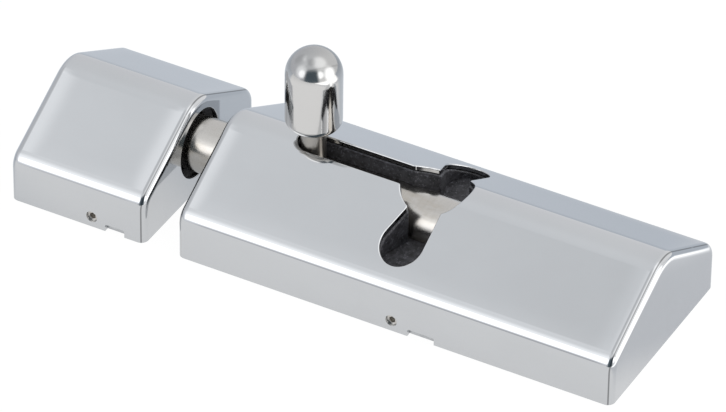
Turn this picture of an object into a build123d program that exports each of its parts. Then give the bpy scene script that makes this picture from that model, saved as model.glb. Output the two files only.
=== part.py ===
"""Sliding bolt latch: a T-slot bolt housing and its receiver, both under polished covers.

Millimetres, +Z up from the mounting plane. The origin is the centre of the housing's fixing
holes, the bolt slides along X and the receiver stands at the -X end of the housing.
"""
import os
from math import asin, atan2, cos, radians, sin, sqrt, tan

from build123d import *

# Covers: one house-shaped section, used for the housing and for the receiver
cover_width = 46.0
cover_wall_height = 10.5
roof_angle = 29.0
ridge_radius = 8.5
crease_radius = 4.4
end_edge_radius = 1.7
inner_edge_radius = 0.6
cover_thickness = 1.0
body_length = 100.45
receiver_length = 32.2
mounting_gap = 7.7

# Bolt and the heights and positions that it sets
bolt_diameter = 12.0
bolt_axis_height = 11.25
bolt_throw = 29.55
bolt_nose_chamfer = 1.2
bolt_rear_chamfer = 0.5
nose_recess = 0.5
rear_wall = 1.9
stop_gap = 0.3
stem_home = 19.3

# Knob: a turned pin with a bullet head
head_diameter = 12.0
head_gap = 3.97
head_length = 18.7
head_edge_radius = 1.8
stem_diameter = 5.3
stem_fillet = 0.4
stem_seat_depth = 1.2
spigot_diameter = 4.0
spigot_length = 6.5
spigot_hole_spare = 0.6

# T slot in the roof, seen from above
slot_clearance = 0.65
junction_diameter = 15.2
junction_offset = -0.65
neck_clearance = 0.95
neck_offset = -0.05
pocket_clearance = 2.0
pocket_wall_distance = 9.1
slot_corner_radius = 0.5
slot_edge_radius = 0.25
opening_edge_radius = 0.2

# Bolt openings in the two facing ends
body_opening_clearance = 0.45
receiver_opening_clearance = 1.75

# Guide block and receiver block, moulded
block_gap = 0.25
rail_wall = 6.0
rail_corner_radius = 1.5
shelf_length = 22.0
channel_inset = 0.25
pocket_end_depth = 1.42
channel_rim_chamfer = 0.3
bore_clearance = 0.05
receiver_bore_clearance = 0.6
receiver_lead_in = 1.3
receiver_bore_spare = 1.5

# Base plates
plate_thickness = 3.0
plate_fit = 0.15
plate_corner_radius = 1.0
lug_length = 8.0
lug_depth = 4.3
lug_height = 5.5
lug_recess_gap = 0.3

# Fixing holes for countersunk screws from above
fixing_hole_diameter = 4.3
fixing_head_diameter = 8.2
fixing_end_distance = 12.0
fixing_rail_gap = 0.4
receiver_fixing_end_distance = 8.2

# Screws that hold the blocks, countersunk from below
block_screw_diameter = 2.9
block_screw_head = 5.5
block_screw_point = 0.7
block_screw_recess = 3.0
block_screw_recess_width = 0.8
block_screw_recess_depth = 1.6
block_screw_recess_taper = 10.0
block_screw_length = 10.0
block_screw_side_distance = 3.1
block_screw_end_distance = 13.0
thread_clearance = 0.05
screw_hole_spare = 0.8
countersink_angle = 90.0

# Set screws through the long walls
set_screw_diameter = 2.5
set_screw_height = 2.5
set_screw_recess = 0.5
set_screw_end_gap = 0.45
set_screw_socket = 1.3
set_screw_socket_depth = 1.2
set_screw_hole_clearance = 0.05
receiver_screw_offset = 12.6

# Notches in the lower edge of the long walls
notch_height = 1.7
notch_corner_radius = 0.4
body_notch_length = 6.1
body_notch_offset = 6.8
receiver_notch_length = 4.6
receiver_notch_offset = 5.5

# Friction shoe under the bolt, pushed up by a leaf spring
shoe_length = 10.0
shoe_width = 6.0
shoe_share = 0.46
shoe_gap = 0.2
shoe_distance = 11.5
leaf_thickness = 0.3
leaf_width = 4.6
leaf_foot = 1.2
leaf_crest = 3.0
leaf_bend_radius = 1.0

# Positions worked out from the sizes above
body_left = -body_length / 2
body_right = body_length / 2
receiver_right = body_left - mounting_gap
receiver_left = receiver_right - receiver_length
stem_x = body_left + stem_home
open_x = stem_x + bolt_throw
junction_x = open_x + junction_offset
neck_x = open_x + neck_offset
pocket_x = neck_x + neck_clearance - pocket_clearance
nose_x = body_left + nose_recess - bolt_throw
body_block_inset = cover_thickness + block_gap
block_right = body_right - body_block_inset
rear_x = block_right - rear_wall - stop_gap - bolt_throw
bore_end_x = rear_x + bolt_throw + stop_gap
bolt_radius = bolt_diameter / 2
bolt_top = bolt_axis_height + bolt_radius
bore_radius = bolt_radius + bore_clearance
bore_bottom = bolt_axis_height - bore_radius
roof_apex = cover_wall_height + cover_width / 2 * tan(radians(roof_angle))
ridge_top = roof_apex - ridge_radius * (1 / cos(radians(roof_angle)) - 1)
pocket_reach = cover_width / 2 - pocket_wall_distance
receiver_screw_x = receiver_right - receiver_screw_offset
receiver_fixing_x = receiver_left + receiver_fixing_end_distance
receiver_middle_x = (receiver_left + receiver_right) / 2
rail_width = bolt_diameter + 2 * rail_wall
fixing_pitch_x = body_length - 2 * fixing_end_distance
fixing_pitch_y = rail_width + fixing_head_diameter + 2 * fixing_rail_gap
block_screw_pitch_x = body_length - 2 * block_screw_end_distance
block_screw_pitch_y = rail_width - 2 * block_screw_side_distance
shoe_x = stem_x + shoe_distance
shoe_bottom = bore_bottom - shoe_share * (bore_bottom - plate_thickness)
seat_height = bolt_top - stem_seat_depth
head_radius = head_diameter / 2
head_bottom_height = ridge_top + head_gap
head_top_height = head_bottom_height + head_length
receiver_notch_x = receiver_screw_x + receiver_notch_offset
receiver_bore_end = nose_x - receiver_bore_spare
above_roof = 2 * roof_apex
tiny = 0.01


def house_form(left, right, inset, edge_radius):
    """The covers' rounded house form between two X positions, shrunk by inset all round."""
    half = cover_width / 2 - inset
    apex = roof_apex - inset / cos(radians(roof_angle))
    crease = apex - half * tan(radians(roof_angle))
    with BuildPart() as form:
        with BuildSketch(Plane.YZ.offset(left + inset)) as outline:
            with BuildLine():
                Polyline((-half, 0), (-half, crease), (0, apex), (half, crease), (half, 0), close=True)
            make_face()
            fillet(outline.vertices().sort_by(Axis.Y)[-1], radius=ridge_radius - inset)
            creases = outline.vertices().filter_by(lambda corner: abs(corner.Y - crease) < tiny)
            fillet(creases, radius=crease_radius - inset)
        extrude(amount=right - left - 2 * inset)
        for end in (form.faces().sort_by(Axis.X)[0], form.faces().sort_by(Axis.X)[-1]):
            rim = end.edges().filter_by(lambda edge: edge.center().Z > tiny)
            fillet(rim, radius=edge_radius)
    return form.part


def slot_plan(inset):
    """The T slot seen from above, its edges moved inwards by inset."""
    half_slot = stem_diameter / 2 + slot_clearance - inset
    half_neck = stem_diameter / 2 + neck_clearance - inset
    junction_radius = junction_diameter / 2 - inset
    neck_left = neck_x - half_neck
    neck_right = neck_x + half_neck
    pocket_radius = stem_diameter / 2 + pocket_clearance - inset
    neck_rise = sqrt(junction_radius ** 2 - (junction_x - neck_left) ** 2)
    to_pocket = Vector(pocket_x - neck_left, pocket_reach - neck_rise)
    heading = atan2(to_pocket.Y, to_pocket.X) + asin(pocket_radius / to_pocket.length)
    run = sqrt(to_pocket.length ** 2 - pocket_radius ** 2)
    flank_end = (neck_left + run * cos(heading), neck_rise + run * sin(heading))
    with BuildSketch() as plan:
        with Locations(((stem_x + junction_x) / 2, 0)):
            Rectangle(junction_x - stem_x, 2 * half_slot)
        with Locations((stem_x, 0)):
            Circle(half_slot)
        with Locations((junction_x, 0)):
            Circle(junction_radius)
        with BuildLine():
            Polyline(
                (neck_left, 0),
                (neck_left, neck_rise),
                flank_end,
                (pocket_x, pocket_reach),
                (neck_right, pocket_reach),
                (neck_right, 0),
                close=True,
            )
        make_face()
        with Locations((pocket_x, pocket_reach)):
            Circle(pocket_radius)
        mirror(about=Plane.XZ)
        centre = Vector(junction_x, 0)
        corners = plan.vertices().filter_by(
            lambda corner: abs((Vector(corner.X, corner.Y) - centre).length - junction_radius) < tiny
        )
        fillet(corners, radius=slot_corner_radius)
    return plan.sketch


def roof_height(y, inset):
    """Height of the roof at a distance y from the ridge, on a house form shrunk by inset."""
    radius = ridge_radius - inset
    apex = roof_apex - inset / cos(radians(roof_angle))
    if abs(y) < radius * sin(radians(roof_angle)):
        return apex - radius / cos(radians(roof_angle)) + sqrt(radius ** 2 - y ** 2)
    return apex - abs(y) * tan(radians(roof_angle))


def roof_edges(edges, inset):
    """Of some edges, those that lie in the roof of a house form shrunk by inset."""
    return edges.filter_by(
        lambda edge: abs(edge.center().Z - roof_height(edge.center().Y, inset)) < tiny
    )


def bolt_bore(mouth_x, end_x, radius, lip, rounded):
    """A bore for the bolt from mouth_x to end_x, its mouth rounded or bevelled by lip."""
    inwards = 1 if end_x > mouth_x else -1
    with BuildPart() as bore:
        with BuildSketch(Plane.XZ) as section:
            with BuildLine():
                Polyline(
                    (mouth_x + inwards * lip, bolt_axis_height + radius),
                    (end_x, bolt_axis_height + radius),
                    (end_x, bolt_axis_height),
                    (mouth_x, bolt_axis_height),
                    (mouth_x, bolt_axis_height + radius + lip),
                )
                if rounded:
                    RadiusArc(
                        (mouth_x, bolt_axis_height + radius + lip),
                        (mouth_x + inwards * lip, bolt_axis_height + radius),
                        -inwards * lip,
                    )
                else:
                    Line(
                        (mouth_x, bolt_axis_height + radius + lip),
                        (mouth_x + inwards * lip, bolt_axis_height + radius),
                    )
            make_face()
        revolve(axis=Axis((0, 0, bolt_axis_height), (1, 0, 0)))
    return bore.part


def cover_shell(left, right, screw_x, notch_x, notch_length):
    """A cover with its set screw holes and the notches in the lower edge of its long walls."""
    with BuildPart() as shell:
        add(house_form(left, right, 0, end_edge_radius))
        add(house_form(left, right, cover_thickness, inner_edge_radius), mode=Mode.SUBTRACT)
        with BuildSketch(Plane.XZ) as screw_holes:
            with Locations((screw_x, set_screw_height)):
                Circle(set_screw_diameter / 2 + set_screw_hole_clearance)
        extrude(amount=cover_width, both=True, mode=Mode.SUBTRACT)
        with BuildSketch(Plane.XZ) as notches:
            with Locations((notch_x, 0)):
                RectangleRounded(notch_length, 2 * notch_height, notch_corner_radius)
        extrude(amount=cover_width, both=True, mode=Mode.SUBTRACT)
    return shell.part


def base_plate(left, right, screw_x):
    """A plate inside a cover, with a tapped lug for the set screw at each long side."""
    fit = cover_thickness + plate_fit
    width = cover_width - 2 * fit
    with BuildPart() as plate:
        with BuildSketch() as outline:
            with Locations(((left + right) / 2, 0)):
                RectangleRounded(right - left - 2 * fit, width, plate_corner_radius)
        extrude(amount=plate_thickness)
        with BuildSketch() as lugs:
            for side in (1, -1):
                with Locations((screw_x, side * (width - lug_depth) / 2)):
                    Rectangle(lug_length, lug_depth)
        extrude(amount=lug_height)
        with BuildSketch(Plane.XZ) as threads:
            with Locations((screw_x, set_screw_height)):
                Circle(set_screw_diameter / 2 + thread_clearance)
        extrude(amount=width, both=True, mode=Mode.SUBTRACT)
    return plate.part


def block_screw():
    """A cross-recess countersunk screw, its head at the mounting plane and its point upwards."""
    head = block_screw_head / 2
    core = block_screw_diameter / 2
    with BuildPart() as screw:
        with BuildSketch(Plane.XZ) as section:
            with BuildLine():
                Polyline(
                    (0, 0),
                    (head, 0),
                    (core, head - core),
                    (core, block_screw_length - core),
                    (block_screw_point / 2, block_screw_length),
                    (0, block_screw_length),
                    close=True,
                )
            make_face()
        revolve(axis=Axis.Z)
        with BuildSketch() as cross_recess:
            Rectangle(block_screw_recess, block_screw_recess_width)
            Rectangle(block_screw_recess_width, block_screw_recess)
        extrude(
            amount=block_screw_recess_depth, taper=block_screw_recess_taper, mode=Mode.SUBTRACT
        )
    return screw.part


def set_screws(screw_x):
    """Two set screws with hexagon sockets, one from each long side."""
    outer = cover_width / 2 - set_screw_recess
    inner = cover_width / 2 - cover_thickness - plate_fit - lug_depth + set_screw_end_gap
    with BuildPart() as pair:
        for side in (1, -1):
            face = Plane(origin=(screw_x, side * outer, set_screw_height), z_dir=(0, -side, 0))
            with BuildSketch(face):
                Circle(set_screw_diameter / 2)
            extrude(amount=outer - inner)
            with BuildSketch(face):
                RegularPolygon(set_screw_socket / sqrt(3), 6)
            extrude(amount=set_screw_socket_depth, mode=Mode.SUBTRACT)
    return pair.part


os.makedirs("parts", exist_ok=True)

# Housing cover: the T slot in the roof and the bolt's opening in the left end
with BuildPart() as body_cover:
    add(cover_shell(body_left, body_right, 0, body_notch_offset, body_notch_length))
    with BuildSketch(Plane.XY.offset(bolt_axis_height)) as t_slot:
        add(slot_plan(0))
    extrude(amount=above_roof, mode=Mode.SUBTRACT)
    fillet(roof_edges(body_cover.edges(Select.NEW), 0), radius=slot_edge_radius)
    opening_end = body_left + 2 * cover_thickness
    opening_radius = bolt_radius + body_opening_clearance
    add(bolt_bore(body_left, opening_end, opening_radius, opening_edge_radius, True), mode=Mode.SUBTRACT)
body_cover.part.label = "body_cover"
export_step(body_cover.part, "parts/body_cover.step")

# Housing base plate: four fixing holes and four holes for the guide block's screws
with BuildPart() as body_base_plate:
    add(base_plate(body_left, body_right, 0))
    with Locations(Plane.XY.offset(plate_thickness)):
        with GridLocations(fixing_pitch_x, fixing_pitch_y, 2, 2):
            CounterSinkHole(
                fixing_hole_diameter / 2,
                fixing_head_diameter / 2,
                counter_sink_angle=countersink_angle,
            )
    with Locations(Plane.XY.rotated((180, 0, 0))):
        with GridLocations(block_screw_pitch_x, block_screw_pitch_y, 2, 2):
            CounterSinkHole(
                block_screw_diameter / 2 + thread_clearance,
                block_screw_head / 2 + thread_clearance,
                counter_sink_angle=countersink_angle,
            )
body_base_plate.part.label = "body_base_plate"
export_step(body_base_plate.part, "parts/body_base_plate.step")

# Guide block: a rail along the bolt, a shelf under the T slot's pockets, the bolt's blind bore,
# the stem's channel and the seats for the lugs, the screws and the friction shoe. The channel's
# floor is set by the roof over the pocket's far end.
pocket_end = pocket_reach + stem_diameter / 2 + pocket_clearance - channel_inset
channel_floor = roof_height(pocket_end, body_block_inset) - pocket_end_depth
with BuildPart() as guide_block:
    add(house_form(body_left, body_right, body_block_inset, inner_edge_radius))
    with BuildSketch(Plane.XY.offset(plate_thickness)) as outline:
        Rectangle(body_length, rail_width)
        with Locations((pocket_x, 0)):
            Rectangle(shelf_length, cover_width)
        fillet(outline.vertices(), radius=rail_corner_radius)
    extrude(amount=above_roof, mode=Mode.INTERSECT)
    with BuildSketch(Plane.YZ.offset(body_left)) as bore:
        with Locations((0, bolt_axis_height)):
            Circle(bore_radius)
    extrude(amount=bore_end_x - body_left, mode=Mode.SUBTRACT)
    with BuildSketch(Plane.XY.offset(channel_floor)) as channel:
        add(slot_plan(channel_inset))
    extrude(amount=above_roof, mode=Mode.SUBTRACT)
    chamfer(roof_edges(guide_block.edges(Select.NEW), body_block_inset), length=channel_rim_chamfer)
    with BuildSketch() as lug_recesses:
        for side in (1, -1):
            with Locations((0, side * (cover_width - lug_depth) / 2)):
                Rectangle(
                    lug_length + 2 * lug_recess_gap, lug_depth + 2 * (cover_thickness + lug_recess_gap)
                )
    extrude(amount=lug_height + lug_recess_gap, mode=Mode.SUBTRACT)
    with BuildSketch() as screw_bores:
        with GridLocations(block_screw_pitch_x, block_screw_pitch_y, 2, 2):
            Circle(block_screw_diameter / 2 + thread_clearance)
    extrude(amount=block_screw_length + screw_hole_spare, mode=Mode.SUBTRACT)
    with BuildSketch() as shoe_seat:
        with Locations((shoe_x, 0)):
            Rectangle(shoe_length + 2 * shoe_gap, shoe_width + 2 * shoe_gap)
    extrude(amount=bolt_axis_height, mode=Mode.SUBTRACT)
guide_block.part.label = "guide_block"
export_step(guide_block.part, "parts/guide_block.step")

# Screws of the guide block, from below
with BuildPart() as guide_block_screws:
    with GridLocations(block_screw_pitch_x, block_screw_pitch_y, 2, 2):
        add(block_screw())
guide_block_screws.part.label = "guide_block_screws"
export_step(guide_block_screws.part, "parts/guide_block_screws.step")

# Friction shoe: a pad whose top fits the bolt
with BuildPart() as friction_shoe:
    with BuildSketch(Plane.XY.offset(shoe_bottom)) as pad:
        with Locations((shoe_x, 0)):
            Rectangle(shoe_length, shoe_width)
    extrude(amount=bolt_radius)
    with BuildSketch(Plane.YZ.offset(shoe_x)) as bolt_seat:
        with Locations((0, bolt_axis_height)):
            Circle(bore_radius)
    extrude(amount=shoe_length, both=True, mode=Mode.SUBTRACT)
friction_shoe.part.label = "friction_shoe"
export_step(friction_shoe.part, "parts/friction_shoe.step")

# Leaf spring between the base plate and the shoe
with BuildPart() as shoe_spring:
    with BuildSketch(Plane.XZ.offset(-leaf_width / 2)) as strip:
        with BuildLine():
            FilletPolyline(
                (shoe_x - shoe_length / 2, plate_thickness + leaf_thickness / 2),
                (shoe_x - shoe_length / 2 + leaf_foot, plate_thickness + leaf_thickness / 2),
                (shoe_x - leaf_crest / 2, shoe_bottom - leaf_thickness / 2),
                (shoe_x + leaf_crest / 2, shoe_bottom - leaf_thickness / 2),
                (shoe_x + shoe_length / 2 - leaf_foot, plate_thickness + leaf_thickness / 2),
                (shoe_x + shoe_length / 2, plate_thickness + leaf_thickness / 2),
                radius=leaf_bend_radius,
            )
        trace(line_width=leaf_thickness)
    extrude(amount=leaf_width)
shoe_spring.part.label = "shoe_spring"
export_step(shoe_spring.part, "parts/shoe_spring.step")

# Set screws of the housing cover, one from each long side
with BuildPart() as body_set_screws:
    add(set_screws(0))
body_set_screws.part.label = "body_set_screws"
export_step(body_set_screws.part, "parts/body_set_screws.step")

# Receiver cover: an opening for the bolt in the end that faces the housing
with BuildPart() as receiver_cover:
    add(
        cover_shell(
            receiver_left, receiver_right, receiver_screw_x, receiver_notch_x, receiver_notch_length
        )
    )
    opening_end = receiver_right - 2 * cover_thickness
    opening_radius = bolt_radius + receiver_opening_clearance
    add(
        bolt_bore(receiver_right, opening_end, opening_radius, opening_edge_radius, True),
        mode=Mode.SUBTRACT,
    )
receiver_cover.part.label = "receiver_cover"
export_step(receiver_cover.part, "parts/receiver_cover.step")

# Receiver base plate: two fixing holes and two holes for the receiver block's screws
with BuildPart() as receiver_base_plate:
    add(base_plate(receiver_left, receiver_right, receiver_screw_x))
    with Locations((receiver_fixing_x, 0, plate_thickness)):
        with GridLocations(0, fixing_pitch_y, 1, 2):
            CounterSinkHole(
                fixing_hole_diameter / 2,
                fixing_head_diameter / 2,
                counter_sink_angle=countersink_angle,
            )
    with Locations(Plane(origin=(receiver_middle_x, 0, 0), z_dir=(0, 0, -1))):
        with GridLocations(0, block_screw_pitch_y, 1, 2):
            CounterSinkHole(
                block_screw_diameter / 2 + thread_clearance,
                block_screw_head / 2 + thread_clearance,
                counter_sink_angle=countersink_angle,
            )
receiver_base_plate.part.label = "receiver_base_plate"
export_step(receiver_base_plate.part, "parts/receiver_base_plate.step")

# Receiver block: a blind bore with a lead-in that catches the bolt
with BuildPart() as receiver_block:
    add(house_form(receiver_left, receiver_right, body_block_inset, inner_edge_radius))
    with BuildSketch(Plane.XY.offset(plate_thickness)) as outline:
        with Locations((receiver_middle_x, 0)):
            Rectangle(receiver_length, rail_width)
    extrude(amount=above_roof, mode=Mode.INTERSECT)
    mouth_x = receiver_right - body_block_inset
    catch_radius = bolt_radius + receiver_bore_clearance
    add(bolt_bore(mouth_x, receiver_bore_end, catch_radius, receiver_lead_in, False), mode=Mode.SUBTRACT)
    with BuildSketch() as screw_bores:
        with Locations((receiver_middle_x, 0)):
            with GridLocations(0, block_screw_pitch_y, 1, 2):
                Circle(block_screw_diameter / 2 + thread_clearance)
    extrude(amount=block_screw_length + screw_hole_spare, mode=Mode.SUBTRACT)
receiver_block.part.label = "receiver_block"
export_step(receiver_block.part, "parts/receiver_block.step")

# Screws of the receiver block, from below
with BuildPart() as receiver_block_screws:
    with Locations((receiver_middle_x, 0)):
        with GridLocations(0, block_screw_pitch_y, 1, 2):
            add(block_screw())
receiver_block_screws.part.label = "receiver_block_screws"
export_step(receiver_block_screws.part, "parts/receiver_block_screws.step")

# Set screws of the receiver cover
with BuildPart() as receiver_set_screws:
    add(set_screws(receiver_screw_x))
receiver_set_screws.part.label = "receiver_set_screws"
export_step(receiver_set_screws.part, "parts/receiver_set_screws.step")

# Bolt: a round bar with a spot-faced and tapped seat for the knob
with BuildPart() as bolt:
    with BuildSketch(Plane.YZ.offset(nose_x)) as bar:
        with Locations((0, bolt_axis_height)):
            Circle(bolt_radius)
    extrude(amount=rear_x - nose_x)
    chamfer(bolt.edges().sort_by(Axis.X)[0], length=bolt_nose_chamfer)
    chamfer(bolt.edges().sort_by(Axis.X)[-1], length=bolt_rear_chamfer)
    with Locations((stem_x, 0, bolt_top)):
        CounterBoreHole(
            spigot_diameter / 2 + thread_clearance,
            stem_diameter / 2 + thread_clearance,
            stem_seat_depth,
            stem_seat_depth + spigot_length + spigot_hole_spare,
        )
bolt.part.label = "bolt"
export_step(bolt.part, "parts/bolt.step")

# Knob: spigot, stem and bullet head, turned in one
with BuildPart() as knob:
    with BuildSketch(Plane.XZ.shift_origin((stem_x, 0, 0))) as section:
        with BuildLine():
            Polyline(
                (0, head_top_height),
                (0, seat_height - spigot_length),
                (spigot_diameter / 2, seat_height - spigot_length),
                (spigot_diameter / 2, seat_height),
                (stem_diameter / 2, seat_height),
                (stem_diameter / 2, head_bottom_height),
                (head_radius, head_bottom_height),
                (head_radius, head_top_height - head_radius),
            )
            RadiusArc((head_radius, head_top_height - head_radius), (0, head_top_height), -head_radius)
        make_face()
        head_foot = section.vertices().filter_by(
            lambda corner: abs(corner.Y - head_bottom_height) < tiny
        )
        fillet(head_foot.sort_by(Axis.X)[-1], radius=head_edge_radius)
        fillet(head_foot.sort_by(Axis.X)[0], radius=stem_fillet)
    revolve(axis=Axis((stem_x, 0, 0), (0, 0, 1)))
knob.part.label = "knob"
export_step(knob.part, "parts/knob.step")
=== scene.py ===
"""Looks of the sliding bolt latch: finishes, light tent and camera.

Metres, +Z up from the mounting plane. The origin is the centre of the housing's fixing holes, the
bolt slides along X and the receiver stands at the -X end.

A Span says where a tone or mark starts and where it is full, and either end may be the higher.
The finishes give lengths, heights and depths in millimetres.
"""

import logging
import math
from dataclasses import dataclass, fields
from enum import Enum
from typing import ClassVar

import bpy
from mathutils import Matrix, Vector


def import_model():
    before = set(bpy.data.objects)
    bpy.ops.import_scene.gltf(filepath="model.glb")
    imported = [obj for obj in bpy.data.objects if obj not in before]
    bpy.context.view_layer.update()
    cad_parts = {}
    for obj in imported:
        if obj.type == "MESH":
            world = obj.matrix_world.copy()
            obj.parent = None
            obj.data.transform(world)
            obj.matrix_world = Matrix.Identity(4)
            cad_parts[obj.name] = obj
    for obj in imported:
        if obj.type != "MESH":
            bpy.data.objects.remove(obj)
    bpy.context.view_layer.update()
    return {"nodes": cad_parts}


log = logging.getLogger("latch")

MM = 0.001
MM_PER_METRE = 1000
NOISE_MIDDLE = 0.5
LEAST_DEPTH = 0.001
MIX_FACTOR, MIX_FIRST, MIX_SECOND, MIX_RESULT = 0, 6, 7, 2
CAMERA_AZIMUTH = 28.37
COVER_COLOUR = (0.60, 0.61, 0.62)

Pair = tuple[float, float]
Span = Pair
Triple = tuple[float, float, float]
Tint = Triple | float | bpy.types.NodeSocket


def level_directions(azimuth: float) -> tuple[Vector, Vector]:
    """The level directions to the camera's side and to its right.

    Args:
        azimuth: The camera's azimuth in degrees, 0 at -Y and positive towards +X.

    Returns:
        The two unit vectors.
    """
    turn = math.radians(azimuth)
    return (
        Vector((math.sin(turn), -math.cos(turn), 0)),
        Vector((math.cos(turn), math.sin(turn), 0)),
    )


def rgba(tint: Tint) -> tuple[float, float, float, float] | bpy.types.NodeSocket:
    """Makes what a colour socket takes.

    Args:
        tint: A colour, one number for a grey, or a colour socket.

    Returns:
        The colour with full alpha, or the socket as it is.
    """
    if isinstance(tint, bpy.types.NodeSocket):
        return tint
    return (*tint, 1.0) if isinstance(tint, tuple) else (tint, tint, tint, 1.0)


class Blend(Enum):
    """How a mix joins its two colours."""

    MIX = "MIX"
    MULTIPLY = "MULTIPLY"
    ADD = "ADD"


@dataclass(frozen=True)
class Noise:
    """A noise pattern.

    Attributes:
        per_mm: How many grains fit in a millimetre along each axis.
        detail: The number of finer octaves.
        roughness: How strong the finer octaves are.
        seed: Moves the pattern, so that two patterns differ.
    """

    per_mm: Triple
    detail: float = 2.0
    roughness: float = 0.5
    seed: float = 0.0


@dataclass
class Value:
    """A number socket that takes part in arithmetic by adding Math nodes."""

    graph: "Graph"
    socket: bpy.types.NodeSocket

    def maths(self, operation: str, *others: "Value | float") -> "Value":
        """Adds a Math node with this value first.

        Args:
            operation: The Math node's operation.
            others: The values of its other sockets.

        Returns:
            The node's result.
        """
        values = dict(enumerate((self, *others)))
        made = self.graph.node("ShaderNodeMath", {"operation": operation}, values)
        return Value(self.graph, made.outputs[0])

    def __add__(self, other: "Value | float") -> "Value":
        """The sum."""
        return self.maths("ADD", other)

    def __radd__(self, other: float) -> "Value":
        """The sum, from the right."""
        return self.maths("ADD", other)

    def __sub__(self, other: "Value | float") -> "Value":
        """The difference."""
        return self.maths("SUBTRACT", other)

    def __rsub__(self, other: float) -> "Value":
        """A number less this value."""
        return self * -1 + other

    def __mul__(self, other: "Value | float") -> "Value":
        """The product."""
        return self.maths("MULTIPLY", other)

    def __truediv__(self, other: "Value | float") -> "Value":
        """The quotient."""
        return self.maths("DIVIDE", other)

    def magnitude(self) -> "Value":
        """The value without its sign."""
        return self.maths("ABSOLUTE")

    def at_least(self, floor: float) -> "Value":
        """The value, or the floor where the value is lower."""
        return self.maths("MAXIMUM", floor)

    def swing(self, width: float) -> "Value":
        """How far a noise is from its middle, times a width."""
        return (self - NOISE_MIDDLE) * width

    def step(self, start: float, full: float) -> "Value":
        """A smooth step from 0 to 1.

        Args:
            start: Where the step leaves 0.
            full: Where it reaches 1, which may be lower than the start.

        Returns:
            The step's height.
        """
        made = self.graph.node(
            "ShaderNodeMapRange",
            {"interpolation_type": "SMOOTHSTEP"},
            {"Value": self, "From Min": min(start, full), "From Max": max(start, full)},
        )
        rising = Value(self.graph, made.outputs["Result"])
        return rising if start < full else 1 - rising


@dataclass
class Graph:
    """The node tree of one material or of the world."""

    tree: bpy.types.NodeTree

    @classmethod
    def emptied(cls, owner: bpy.types.Material | bpy.types.World) -> "Graph":
        """Empties the nodes of a new material or world.

        Args:
            owner: The material or world.

        Returns:
            Its node tree, ready to be filled.
        """
        owner.use_nodes = True
        owner.node_tree.nodes.clear()
        return cls(owner.node_tree)

    def node(
        self,
        kind: str,
        settings: dict[str, object] | None = None,
        values: dict[str | int, object] | None = None,
    ) -> bpy.types.Node:
        """Adds a node.

        Args:
            kind: The node's type name.
            settings: Its properties.
            values: What its input sockets hold: numbers, tuples, sockets or Value objects.

        Returns:
            The new node.
        """
        made = self.tree.nodes.new(kind)
        for name, setting in (settings or {}).items():
            setattr(made, name, setting)
        for name, value in (values or {}).items():
            source = value.socket if isinstance(value, Value) else value
            if isinstance(source, bpy.types.NodeSocket):
                self.tree.links.new(source, made.inputs[name])
            else:
                made.inputs[name].default_value = source
        return made

    def place(self, scale: Triple = (1, 1, 1)) -> bpy.types.NodeSocket:
        """Where a point lies on the object, in millimetres times a scale.

        Args:
            scale: The factor along each axis.

        Returns:
            A vector socket.
        """
        where = self.node("ShaderNodeTexCoord").outputs["Object"]
        factors = tuple(MM_PER_METRE * part for part in scale)
        made = self.node("ShaderNodeVectorMath", {"operation": "MULTIPLY"}, {0: where, 1: factors})
        return made.outputs[0]

    def position(self) -> tuple[Value, ...]:
        """A point's X, Y and Z on the object, in millimetres."""
        made = self.node("ShaderNodeSeparateXYZ", None, {0: self.place()})
        return tuple(Value(self, socket) for socket in made.outputs)

    def dot(self, vector: bpy.types.NodeSocket, direction: Vector) -> Value:
        """How far a vector goes along a direction.

        Args:
            vector: The vector's socket.
            direction: A unit vector.

        Returns:
            The dot product of the two.
        """
        made = self.node(
            "ShaderNodeVectorMath", {"operation": "DOT_PRODUCT"}, {0: vector, 1: tuple(direction)}
        )
        return Value(self, made.outputs["Value"])

    def noise(self, pattern: Noise) -> Value:
        """Adds a noise.

        Args:
            pattern: The noise's grain, octaves and seed.

        Returns:
            The noise, between 0 and 1 around 0.5.
        """
        made = self.node(
            "ShaderNodeTexNoise",
            {"noise_dimensions": "4D"},
            {
                "Vector": self.place(pattern.per_mm),
                "W": pattern.seed,
                "Scale": 1.0,
                "Detail": pattern.detail,
                "Roughness": pattern.roughness,
            },
        )
        return Value(self, made.outputs[0])

    def mix(
        self,
        factor: Value | float | bpy.types.NodeSocket,
        first: Tint,
        second: Tint,
        blend: Blend = Blend.MIX,
    ) -> bpy.types.NodeSocket:
        """Mixes two colours.

        Args:
            factor: The share of the second colour.
            first: A colour, a grey or a colour socket.
            second: A colour, a grey or a colour socket.
            blend: How the two are joined.

        Returns:
            The mixed colour's socket.
        """
        made = self.node(
            "ShaderNodeMix",
            {"data_type": "RGBA", "blend_type": blend.value},
            {MIX_FACTOR: factor, MIX_FIRST: rgba(first), MIX_SECOND: rgba(second)},
        )
        return made.outputs[MIX_RESULT]

    def bump(
        self, height: Value, depth_mm: float, under: bpy.types.NodeSocket | None = None
    ) -> bpy.types.NodeSocket:
        """Turns a height into a surface normal.

        Args:
            height: The relief.
            depth_mm: How deep a relief of 1 is, in millimetres.
            under: The normal that it goes on, if there is one.

        Returns:
            The normal's socket.
        """
        values = {"Height": height, "Distance": depth_mm * MM, "Strength": 1.0}
        if under is not None:
            values["Normal"] = under
        return self.node("ShaderNodeBump", None, values).outputs[0]


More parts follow.
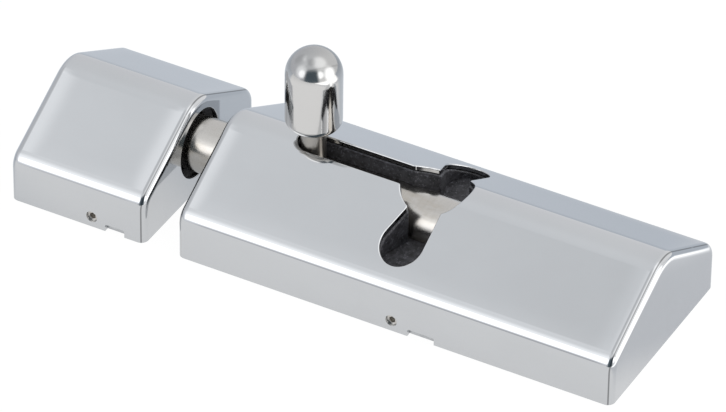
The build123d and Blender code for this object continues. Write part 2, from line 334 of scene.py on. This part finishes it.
@dataclass(frozen=True)
class Finish:
    """What every finish has: a name and a base colour, as linear red, green and blue."""

    name: str
    colour: Triple

    def material(self) -> bpy.types.Material:
        """Makes the material.

        Returns:
            The finished material.
        """
        made = bpy.data.materials.new(self.name)
        graph = Graph.emptied(made)
        shader = graph.node("ShaderNodeBsdfPrincipled", None, self.sockets(graph))
        graph.node("ShaderNodeOutputMaterial", None, {"Surface": shader.outputs[0]})
        return made

    def sockets(self, graph: Graph) -> dict[str, object]:
        """What goes into the shader's sockets.

        Args:
            graph: The material's nodes.

        Returns:
            The sockets' names with their values or links.
        """
        raise NotImplementedError

    def shade(self, strength: float) -> Triple:
        """The base colour times a strength."""
        return tuple(strength * part for part in self.colour)


@dataclass(frozen=True)
class PolishedSteel(Finish):
    """Stainless steel polished to a mirror, with a trace of the wheel and of handling."""

    roughness: float = 0.045
    haze: Noise = Noise((0.05, 0.07, 0.07), detail=3, roughness=0.6, seed=1.7)
    haze_tone: float = 0.975
    haze_tone_span: Span = (0.35, 0.7)
    haze_roughness: float = 0.03
    haze_roughness_span: Span = (0.45, 0.8)
    waves: Noise = Noise((0.12, 0.16, 0.16), detail=1, seed=8.2)
    wave_mm: float = 0.0006
    hairs: Noise = Noise((0.54, 8.1, 8.1), detail=3, seed=3.1)
    hair_mm: float = 0.00004

    def sockets(self, graph: Graph) -> dict[str, object]:
        """Mirror metal with long soft waves, hairline polishing marks and faint haze."""
        haze, waves, hairs = (graph.noise(each) for each in (self.haze, self.waves, self.hairs))
        tone = graph.mix(haze.step(*self.haze_tone_span), self.colour, self.shade(self.haze_tone))
        rougher = haze.step(*self.haze_roughness_span) * self.haze_roughness
        relief = graph.bump(waves, self.wave_mm, self.form(graph))
        return {
            "Base Color": self.marked(graph, tone),
            "Metallic": 1.0,
            "Roughness": self.roughness + rougher,
            "Normal": graph.bump(hairs, self.hair_mm, relief),
        }

    def form(self, graph: Graph) -> bpy.types.NodeSocket | None:
        """The gentle form under the polish, of which a turned piece has none."""
        return None

    def marked(self, graph: Graph, tone: bpy.types.NodeSocket) -> bpy.types.NodeSocket:
        """The tone with the piece's own marks, if it has any."""
        return tone


@dataclass(frozen=True)
class KnobSteel(PolishedSteel):
    """The knob: a head whose dome is rougher and carries painted shade, on a stem that is rougher,
    darker and warmer.
    """

    roughness: float = 0.09
    wave_mm: float = 0.0002
    hairs: Noise = Noise((8.1, 8.1, 0.54), detail=3, seed=3.1)
    hair_mm: float = 0.00003
    stem_span: Span = (26.8, 26.0)
    stem_colour: Triple = (0.45, 0.43, 0.40)
    stem_roughness: float = 0.2
    dome_span: Span = (39.5, 42.0)
    # Painted shade: the darker base colour of the dome's top.
    dome_shade_colour: Triple = (0.46, 0.46, 0.455)
    dome_roughness: float = 0.05

    def sockets(self, graph: Graph) -> dict[str, object]:
        """The polish, with more roughness on the dome and from the head's foot down."""
        made = super().sockets(graph)
        stem, dome = self._shares(graph)
        made["Roughness"] += stem * self.stem_roughness + dome * self.dome_roughness
        return made

    def marked(self, graph: Graph, tone: bpy.types.NodeSocket) -> bpy.types.NodeSocket:
        """The tone with painted shade that darkens the dome, and darker and warmer from the head's
        foot down.
        """
        stem, dome = self._shares(graph)
        # Painted shade: the dome's share darkens the tone to the dome's colour.
        return graph.mix(stem, graph.mix(dome, tone, self.dome_shade_colour), self.stem_colour)

    def _shares(self, graph: Graph) -> tuple[Value, Value]:
        """How far a point belongs to the stem and how far to the dome, by its height."""
        _, _, height = graph.position()
        return height.step(*self.stem_span), height.step(*self.dome_span)


@dataclass(frozen=True)
class PressedCover(PolishedSteel):
    """A pressed cover: its sheet falls away near the edges.

    A fine dark line is painted round each end, a little inside it.
    """

    ends: Pair = (-50.225, 50.225)
    half_width: float = 23.0
    crown_width: float = 7.0
    crown_mm: float = 0.26
    crease_width: float = 5.5
    crease_mm: float = 0.13
    # A fine dark line painted round each end, broken up by noise.
    end_line_inset: float = 0.9
    end_line_span: Span = (0.2, 0.07)
    end_line_shade: float = 0.4
    left_line_share: float = 0.3
    left_line_span: Span = (-1.0, 1.0)
    line_gaps: Noise = Noise((0.8, 0.8, 0.8), detail=2, seed=5.9)
    line_gap_span: Span = (0.1, 0.4)

    def form(self, graph: Graph) -> bpy.types.NodeSocket:
        """The sheet's fall at the -X end and the creases, and its rise at the +X end."""
        along, across, _ = graph.position()
        left = self._closeness(along - self.ends[0], self.crown_width)
        right = self._closeness(self.ends[1] - along, self.crown_width)
        crease = self._closeness(self.half_width - across.magnitude(), self.crease_width)
        rise = (right * right * right - left * left * left) * self.crown_mm
        return graph.bump(rise - crease * crease * self.crease_mm, depth_mm=1.0)

    def marked(self, graph: Graph, tone: bpy.types.NodeSocket) -> bpy.types.NodeSocket:
        """The tone with a fine dark line round both ends, fainter round the -X end."""
        along, _, _ = graph.position()
        low, high = self.ends
        from_middle = along - (low + high) / 2
        inset = (high - low) / 2 - from_middle.magnitude()
        line = (inset - self.end_line_inset).magnitude().step(*self.end_line_span)
        unbroken = graph.noise(self.line_gaps).step(*self.line_gap_span)
        rightness = from_middle.step(*self.left_line_span)
        side = rightness * (1 - self.left_line_share) + self.left_line_share
        return graph.mix(line * unbroken * side, tone, self.shade(self.end_line_shade))

    @staticmethod
    def _closeness(inset: Value, width: float) -> Value:
        """How close a point is to an edge: 1 at the edge, and 0 from the width inwards."""
        return (1 - inset / width).at_least(0.0)


@dataclass(frozen=True)
class TurnedSteel(Finish):
    """Steel bar turned and linished to a satin sheen, with fine rings round its axis."""

    roughness: float = 0.21
    rings: Noise = Noise((6.25, 0.02, 0.02), detail=3, roughness=0.7, seed=2.4)
    ring_mm: float = 0.0009
    ring_tone: float = 0.95
    ring_span: Span = (0.3, 0.7)
    ring_roughness: float = 0.10
    stains: Noise = Noise((0.11, 0.2, 0.2), detail=4, roughness=0.6, seed=5.5)
    stain_colour: Triple = (0.47, 0.43, 0.37)
    stain_span: Span = (0.4, 0.72)
    stain_roughness: float = 0.1

    def sockets(self, graph: Graph) -> dict[str, object]:
        """Satin metal with turning rings, which also streak its tone, and slight staining."""
        rings, stains = graph.noise(self.rings), graph.noise(self.stains)
        warm = graph.mix(stains.step(*self.stain_span), self.colour, self.stain_colour)
        streaks = graph.mix(rings.step(*self.ring_span), self.ring_tone, 1.0)
        rougher = rings.swing(self.ring_roughness) + stains.swing(self.stain_roughness)
        return {
            "Base Color": graph.mix(1.0, warm, streaks, Blend.MULTIPLY),
            "Metallic": 1.0,
            "Roughness": self.roughness + rougher,
            "Normal": graph.bump(rings, self.ring_mm),
        }


@dataclass(frozen=True)
class PlatedSteel(Finish):
    """Zinc-plated or bright steel of hidden plates, screws and springs."""

    roughness: float = 0.3
    mottle: Noise = Noise((1 / 1.2, 1 / 1.2, 1 / 1.2), detail=2, seed=4.4)
    mottle_tones: Pair = (0.9, 1.05)
    mottle_span: Span = (0.3, 0.7)
    mottle_roughness: float = 0.15
    grain: Noise = Noise((5, 5, 5), detail=2, seed=6.1)
    grain_mm: float = 0.002

    def sockets(self, graph: Graph) -> dict[str, object]:
        """Dull metal with a mottled plating and a fine grain."""
        mottle = graph.noise(self.mottle)
        dark, bright = (self.shade(tone) for tone in self.mottle_tones)
        return {
            "Base Color": graph.mix(mottle.step(*self.mottle_span), dark, bright),
            "Metallic": 1.0,
            "Roughness": self.roughness + mottle.swing(self.mottle_roughness),
            "Normal": graph.bump(graph.noise(self.grain), self.grain_mm),
        }


@dataclass(frozen=True)
class MouldedPlastic(Finish):
    """Matt moulded plastic with a sparked texture and pale specks."""

    roughness: float = 0.55
    clouds: Noise = Noise((0.9, 0.9, 0.9), detail=3, roughness=0.65, seed=2.9)
    cloud_tones: Pair = (0.35, 1.4)
    cloud_span: Span = (0.32, 0.68)
    specks: Noise = Noise((2.6, 2.6, 2.6), detail=2, seed=9.6)
    speck_tone: float = 3.2
    speck_span: Span = (0.56, 0.68)
    grain: Noise = Noise((4.5, 4.5, 4.5), detail=3, roughness=0.6, seed=7.3)
    grain_mm: float = 0.02
    grain_roughness: float = 0.2

    def sockets(self, graph: Graph) -> dict[str, object]:
        """Dull plastic with sparse pale specks and a fine sparked grain."""
        clouds, specks, grain = (
            graph.noise(each) for each in (self.clouds, self.specks, self.grain)
        )
        dark, bright = (self.shade(tone) for tone in self.cloud_tones)
        ground = graph.mix(clouds.step(*self.cloud_span), dark, bright)
        return {
            "Base Color": graph.mix(
                specks.step(*self.speck_span), ground, self.shade(self.speck_tone)
            ),
            "Roughness": self.roughness + grain.swing(self.grain_roughness),
            "Normal": graph.bump(grain, self.grain_mm),
        }


@dataclass(frozen=True)
class Finishes:
    """Every finish of the latch, under the name by which an assembly asks for it."""

    body: PressedCover = PressedCover("polished_body", COVER_COLOUR)
    receiver: PressedCover = PressedCover(
        "polished_receiver", COVER_COLOUR, ends=(-90.125, -57.925)
    )
    knob: KnobSteel = KnobSteel("polished_knob", (0.66, 0.65, 0.635))
    bolt: TurnedSteel = TurnedSteel("turned_bolt", (0.56, 0.54, 0.51))
    block: MouldedPlastic = MouldedPlastic("moulded_black", (0.036, 0.036, 0.041))
    plate: PlatedSteel = PlatedSteel("plated_steel", (0.52, 0.53, 0.54))
    screw: PlatedSteel = PlatedSteel("screw_steel", (0.55, 0.53, 0.50), roughness=0.25)
    spring: PlatedSteel = PlatedSteel("spring_steel", (0.40, 0.42, 0.46), roughness=0.2)
    shoe: MouldedPlastic = MouldedPlastic(
        "pale_acetal", (0.62, 0.61, 0.57), roughness=0.35, speck_tone=1.0, grain_mm=0.002
    )

    def materials(self) -> dict[str, bpy.types.Material]:
        """Makes a material of every finish.

        Returns:
            The materials under their finishes' names.
        """
        return {each.name: getattr(self, each.name).material() for each in fields(self)}


@dataclass
class Assembly:
    """Some CAD nodes of the latch, each with its finish."""

    dressing: ClassVar[dict[str, str]] = {}

    nodes: dict[str, bpy.types.Object]
    materials: dict[str, bpy.types.Material]

    def dress(self) -> None:
        """Gives every node of the assembly its finish."""
        for node, finish in self.dressing.items():
            mesh = self.nodes[node].data
            mesh.materials.clear()
            mesh.materials.append(self.materials[finish])
            log.info("%s: %s, %d faces", node, finish, len(mesh.polygons))


class Housing(Assembly):
    """The housing: cover, plate, guide block, friction shoe and their screws."""

    dressing = {
        "body_cover": "body",
        "body_base_plate": "plate",
        "body_set_screws": "screw",
        "guide_block": "block",
        "guide_block_screws": "screw",
        "friction_shoe": "shoe",
        "shoe_spring": "spring",
    }


class Receiver(Assembly):
    """The receiver: cover, plate, block and their screws."""

    dressing = {
        "receiver_cover": "receiver",
        "receiver_base_plate": "plate",
        "receiver_block": "block",
        "receiver_block_screws": "screw",
        "receiver_set_screws": "screw",
    }


class Slider(Assembly):
    """What slides: the bolt with its knob."""

    dressing = {"bolt": "bolt", "knob": "knob"}


@dataclass(frozen=True)
class Camera:
    """The camera, aimed at a point of the latch from the photographed side.

    Its angles are in degrees, its lens and sensor in millimetres and the rest in metres.
    """

    azimuth: float = CAMERA_AZIMUTH
    elevation: float = 37.14
    roll: float = 0.73
    distance: float = 1.348
    lens: float = 325.1
    sensor: float = 36.0
    target: Triple = (-0.019215, 0.0, 0.00934)
    nearest: float = 0.05
    farthest: float = 20.0

    def axes(self) -> tuple[Vector, Vector, Vector]:
        """The camera's own axes before it rolls.

        Returns:
            The directions to its right, up and back.
        """
        front, right = level_directions(self.azimuth)
        tilt = math.radians(self.elevation)
        back = math.cos(tilt) * front + Vector((0, 0, math.sin(tilt)))
        return right, back.cross(right), back

    def build(self) -> None:
        """Makes the camera and lets the scene look through it."""
        data = bpy.data.cameras.new("camera")
        data.lens = self.lens
        data.sensor_width = self.sensor
        data.clip_start = self.nearest
        data.clip_end = self.farthest
        made = bpy.data.objects.new("camera", data)
        bpy.context.scene.collection.objects.link(made)
        right, up, back = self.axes()
        roll = math.radians(self.roll)
        rolled_right = math.cos(roll) * right + math.sin(roll) * up
        rolled_up = math.cos(roll) * up - math.sin(roll) * right
        turn = Matrix((rolled_right, rolled_up, back)).transposed()
        place = Vector(self.target) + self.distance * back
        made.matrix_world = Matrix.Translation(place) @ turn.to_4x4()
        bpy.context.scene.camera = made


@dataclass(frozen=True)
class Patch:
    """A round patch of the light tent, which adds light or keeps only a share of it.

    Attributes:
        azimuth: Its middle's azimuth in degrees from the camera's side, positive to the right.
        elevation: Its middle's elevation in degrees.
        core: The angle in degrees from its middle within which it is full.
        edge: The angle in degrees from its middle beyond which it is gone.
        strength: The light that it adds, or the share that it keeps.
    """

    azimuth: float
    elevation: float
    core: float
    edge: float
    strength: float

    def share(self, graph: Graph, ray: bpy.types.NodeSocket, camera_azimuth: float) -> Value:
        """How much of the patch a ray meets.

        Args:
            graph: The world's nodes.
            ray: The ray's direction.
            camera_azimuth: The camera's azimuth in degrees.

        Returns:
            1 in the patch's core and 0 beyond its edge.
        """
        level, _ = level_directions(camera_azimuth + self.azimuth)
        tilt = math.radians(self.elevation)
        middle = math.cos(tilt) * level + Vector((0, 0, math.sin(tilt)))
        edge, core = (math.cos(math.radians(angle)) for angle in (self.edge, self.core))
        return graph.dot(ray, middle).step(edge, core)


@dataclass(frozen=True)
class LightTent:
    """A white tent round the latch: its wall, softboxes, flags, hoop and the gap at the front.

    Its spans are in parts of a ray's unit direction: up for the high wall, to the camera's right
    for the right wall and the hoop's length, and off the hoop's plane for the hoop. The gap's are
    the parts across and up, over the part ahead.
    """

    azimuth: float = CAMERA_AZIMUTH
    low_wall: Triple = (0.77, 0.785, 0.83)
    high_wall: Triple = (0.88, 0.90, 0.93)
    high_span: Span = (0.0, 0.9)
    right_wall: Triple = (1.05, 1.05, 1.06)
    right_span: Span = (-0.5, 0.7)
    softboxes: tuple[Patch, ...] = (
        Patch(-54, 22, 10, 16, 0.7),
        Patch(-62, 27, 4, 29.5, 0.6),
        Patch(-79, 57, 3, 14, 0.14),
        Patch(-107.5, 57, 0.5, 8.5, 0.27),
        Patch(-124, 52, 2, 12, 0.2),
        Patch(28, 28, 5, 18, 1.4),
        Patch(70, 16, 8, 30, 1.4),
        Patch(70, 68, 8, 34, 0.6),
    )
    flags: tuple[Patch, ...] = (
        Patch(-50, 78, 6, 20, 0.79),
        Patch(180, 30, 15, 45, 0.94),
        Patch(-122, 34, 4, 22, 0.82),
        Patch(-47, 1, 3, 8, 0.76),
    )
    hoop_axis: Triple = (-0.4853, 0.4737, 0.7349)
    hoop_offset: float = 0.189
    hoop_span: Span = (0.045, 0.0135)
    hoop_length_span: Span = (-0.45, -0.1)
    hoop_shade: float = 0.72
    gap_left_span: Span = (-1.0, -0.6)
    gap_right_span: Span = (0.48, 0.2)
    gap_top_span: Span = (1.6, 0.8)
    gap_colour: Triple = (0.11, 0.14, 0.165)
    seen_tone: float = 1.0

    def build(self) -> None:
        """Makes the tent as the scene's world."""
        world = bpy.data.worlds.new("light_tent")
        graph = Graph.emptied(world)
        ray = graph.node("ShaderNodeTexCoord").outputs["Generated"]
        front, right = level_directions(self.azimuth)
        ahead, aside, up = (graph.dot(ray, way) for way in (front, right, Vector((0, 0, 1))))
        colour = graph.mix(up.step(*self.high_span), self.low_wall, self.high_wall)
        colour = graph.mix(aside.step(*self.right_span), colour, self.right_wall)
        for patches, blend in ((self.softboxes, Blend.ADD), (self.flags, Blend.MULTIPLY)):
            for patch in patches:
                share = patch.share(graph, ray, self.azimuth)
                colour = graph.mix(share, colour, patch.strength, blend)
        from_hoop = (graph.dot(ray, Vector(self.hoop_axis)) - self.hoop_offset).magnitude()
        hoop = from_hoop.step(*self.hoop_span) * aside.step(*self.hoop_length_span)
        colour = graph.mix(hoop, colour, self.hoop_shade, Blend.MULTIPLY)
        colour = graph.mix(self._gap(ahead, aside, up), colour, self.gap_colour)
        seen = graph.node("ShaderNodeLightPath").outputs["Is Camera Ray"]
        colour = graph.mix(seen, colour, self.seen_tone)
        shader = graph.node("ShaderNodeBackground", None, {"Color": colour, "Strength": 1.0})
        graph.node("ShaderNodeOutputWorld", None, {"Surface": shader.outputs[0]})
        bpy.context.scene.world = world

    def _gap(self, ahead: Value, aside: Value, up: Value) -> Value:
        """The dark gap in the tent's front, where the camera looks in.

        Args:
            ahead: A ray's part to the camera's side.
            aside: Its part to the camera's right.
            up: Its part upwards.

        Returns:
            1 in the gap and 0 beside it.
        """
        depth = ahead.at_least(LEAST_DEPTH)
        across, height = aside / depth, up / depth
        inside = across.step(*self.gap_left_span) * across.step(*self.gap_right_span)
        return inside * height.step(*self.gap_top_span)


@dataclass(frozen=True)
class Floor:
    """The pale sheet under the latch, with the tones that the metal mirrors, which hold painted
    shade and a painted pool of light.

    Its radius is in metres. Its spans are in millimetres from the origin: to the camera's side for
    the tone behind, and to the camera's right for the others.
    """

    radius: float = 6.0
    segments: int = 96
    depth_mm: float = 0.02
    azimuth: float = CAMERA_AZIMUTH
    matt_tone: float = 0.9
    front: Triple = (0.95, 0.955, 0.965)
    # Painted shadow: the darker tone to the right stands for the latch's own shadow on the sheet.
    right: Triple = (0.70, 0.72, 0.76)
    right_span: Span = (36, 48)
    # Painted light: the far right glows brighter than white, standing for a softbox's light on the
    # sheet.
    far_right: float = 1.95
    far_right_span: Span = (62, 85)
    # Painted shade: bluish and darker behind, darker still behind on the right.
    behind: Triple = (0.60, 0.65, 0.72)
    behind_span: Span = (-12, -45)
    behind_right: Triple = (0.52, 0.57, 0.64)
    behind_right_span: Span = (-20, 60)
    seen_tone: float = 1.02
    seen_share: float = 0.95
    mirrored_share: float = 0.85

    def build(self) -> None:
        """Makes the sheet."""
        mesh = bpy.data.meshes.new("floor")
        turns = [2 * math.pi * index / self.segments for index in range(self.segments)]
        rim = [(self.radius * math.cos(turn), self.radius * math.sin(turn), 0.0) for turn in turns]
        mesh.from_pydata(rim, [], [tuple(range(self.segments))])
        mesh.materials.append(self._material())
        made = bpy.data.objects.new("floor", mesh)
        made.location.z = -self.depth_mm * MM
        bpy.context.scene.collection.objects.link(made)

    def _material(self) -> bpy.types.Material:
        """White that keeps a soft shadow, and in glossy rays the mirrored tones."""
        made = bpy.data.materials.new("floor_white")
        graph = Graph.emptied(made)
        path = graph.node("ShaderNodeLightPath")
        seen, glossy, through = (
            Value(graph, path.outputs[f"Is {kind} Ray"])
            for kind in ("Camera", "Glossy", "Transmission")
        )
        matt = graph.node("ShaderNodeBsdfDiffuse", None, {"Color": rgba(self.matt_tone)})
        tone = graph.mix(seen, self._mirrored(graph), self.seen_tone)
        glow = graph.node("ShaderNodeEmission", None, {"Color": tone, "Strength": 1.0})
        share = (seen + through) * self.seen_share + glossy * self.mirrored_share
        blend = graph.node(
            "ShaderNodeMixShader",
            None,
            {0: share.maths("MINIMUM", 1.0), 1: matt.outputs[0], 2: glow.outputs[0]},
        )
        graph.node("ShaderNodeOutputMaterial", None, {"Surface": blend.outputs[0]})
        return made

    def _mirrored(self, graph: Graph) -> bpy.types.NodeSocket:
        """The sheet's tone in the metal: paler in front, painted shade behind and to the right,
        and a painted pool of light at the far right that glows brighter than white.

        Args:
            graph: The sheet's nodes.

        Returns:
            The colour's socket.
        """
        place = graph.place()
        near, aside = (graph.dot(place, way) for way in level_directions(self.azimuth))
        # Painted shadow to the right, and painted light at the far right.
        tone = graph.mix(aside.step(*self.right_span), self.front, self.right)
        tone = graph.mix(aside.step(*self.far_right_span), tone, self.far_right)
        # Painted shade behind, darker on the right.
        behind = graph.mix(aside.step(*self.behind_right_span), self.behind, self.behind_right)
        return graph.mix(near.step(*self.behind_span), tone, behind)


def main() -> None:
    """Builds the scene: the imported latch, its finishes, the camera, the floor and the light."""
    logging.basicConfig(level=logging.INFO, format="%(name)s: %(message)s")
    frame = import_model()
    materials = Finishes().materials()
    for assembly in (Housing, Receiver, Slider):
        assembly(frame["nodes"], materials).dress()
    Camera().build()
    Floor().build()
    LightTent().build()
    bpy.context.scene.view_settings.view_transform = "Standard"


if __name__ == "__main__":
    main()
